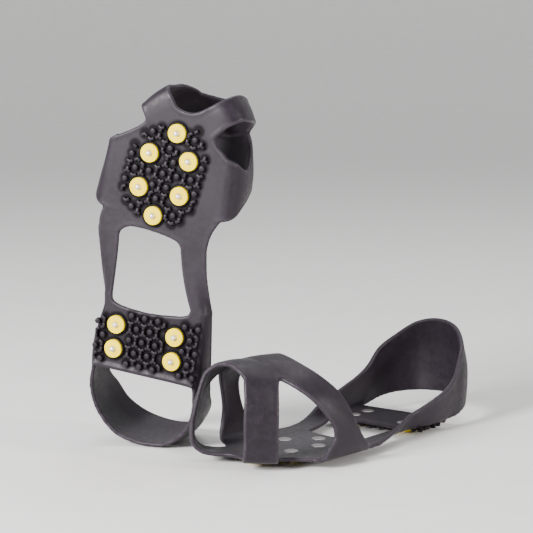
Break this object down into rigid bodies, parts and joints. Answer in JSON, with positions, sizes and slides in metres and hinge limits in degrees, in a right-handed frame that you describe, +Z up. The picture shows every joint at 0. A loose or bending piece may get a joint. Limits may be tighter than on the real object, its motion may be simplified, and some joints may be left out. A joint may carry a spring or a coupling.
{
  "type": "shoe ice cleats",
  "caption": "Pair of slip-on rubber ice cleats for winter boots: studded forefoot and heel plates, straps over the toe and a sling round the heel.",
  "frame": {"origin": "on the floor, under the middle of the pair's bounding box", "axes": "+Z up; +X to the right and +Y away from a viewer who faces the studs of the standing right cleat; the left cleat lies studs down in front with its toe towards -X and -Y"},
  "size_m": [0.3276, 0.2566, 0.2997],
  "materials": {
    "black_rubber": "satin moulded thermoplastic rubber",
    "yellow_washer": "pale yellow, satin",
    "steel_pin": "zinc plated, worn bright at the tip"
  },
  "bodies": {
    "left_forefoot": {"left_forefoot_plate": "black_rubber", "left_outer_front_strap": "black_rubber", "left_inner_front_strap": "black_rubber", "left_outer_rear_strap": "black_rubber", "left_inner_rear_strap": "black_rubber", "left_toe_bridge": "black_rubber", "left_stud_washer_1": "yellow_washer", "left_stud_pin_1": "steel_pin", "left_stud_washer_2": "yellow_washer", "left_stud_pin_2": "steel_pin", "left_stud_washer_3": "yellow_washer", "left_stud_pin_3": "steel_pin", "left_stud_washer_4": "yellow_washer", "left_stud_pin_4": "steel_pin", "left_stud_washer_5": "yellow_washer", "left_stud_pin_5": "steel_pin", "left_stud_washer_6": "yellow_washer", "left_stud_pin_6": "steel_pin"},
    "left_heel": {"left_heel_plate": "black_rubber", "left_outer_rail": "black_rubber", "left_inner_rail": "black_rubber", "left_heel_sling": "black_rubber", "left_stud_washer_7": "yellow_washer", "left_stud_pin_7": "steel_pin", "left_stud_washer_8": "yellow_washer", "left_stud_pin_8": "steel_pin", "left_stud_washer_9": "yellow_washer", "left_stud_pin_9": "steel_pin", "left_stud_washer_10": "yellow_washer", "left_stud_pin_10": "steel_pin"},
    "right_forefoot": {"right_forefoot_plate": "black_rubber", "right_outer_front_strap": "black_rubber", "right_inner_front_strap": "black_rubber", "right_outer_rear_strap": "black_rubber", "right_inner_rear_strap": "black_rubber", "right_toe_bridge": "black_rubber", "right_stud_washer_1": "yellow_washer", "right_stud_pin_1": "steel_pin", "right_stud_washer_2": "yellow_washer", "right_stud_pin_2": "steel_pin", "right_stud_washer_3": "yellow_washer", "right_stud_pin_3": "steel_pin", "right_stud_washer_4": "yellow_washer", "right_stud_pin_4": "steel_pin", "right_stud_washer_5": "yellow_washer", "right_stud_pin_5": "steel_pin", "right_stud_washer_6": "yellow_washer", "right_stud_pin_6": "steel_pin"},
    "right_heel": {"right_heel_plate": "black_rubber", "right_outer_rail": "black_rubber", "right_inner_rail": "black_rubber", "right_heel_sling": "black_rubber", "right_stud_washer_7": "yellow_washer", "right_stud_pin_7": "steel_pin", "right_stud_washer_8": "yellow_washer", "right_stud_pin_8": "steel_pin", "right_stud_washer_9": "yellow_washer", "right_stud_pin_9": "steel_pin", "right_stud_washer_10": "yellow_washer", "right_stud_pin_10": "steel_pin"}
  },
  "joints": [
    {"name": "left_arch_flex", "type": "hinge", "parent": "left_forefoot", "child": "left_heel", "pos_m": [0.04721, -0.03169, 0.0078], "axis": [0.7837, -0.6212, 0], "range_deg": [-10, 25], "stiffness_Nm_per_rad": 4},
    {"name": "pair_separation", "type": "slide", "parent": "left_forefoot", "child": "right_heel", "axis": [-1, 0, 0], "range_m": [0, 0.15]},
    {"name": "right_arch_flex", "type": "hinge", "parent": "right_heel", "child": "right_forefoot", "pos_m": [-0.11743, -0.05195, 0.17589], "axis": [-0.9324, 0.3265, 0.1547], "range_deg": [-10, 25], "stiffness_Nm_per_rad": 4}
  ]
}
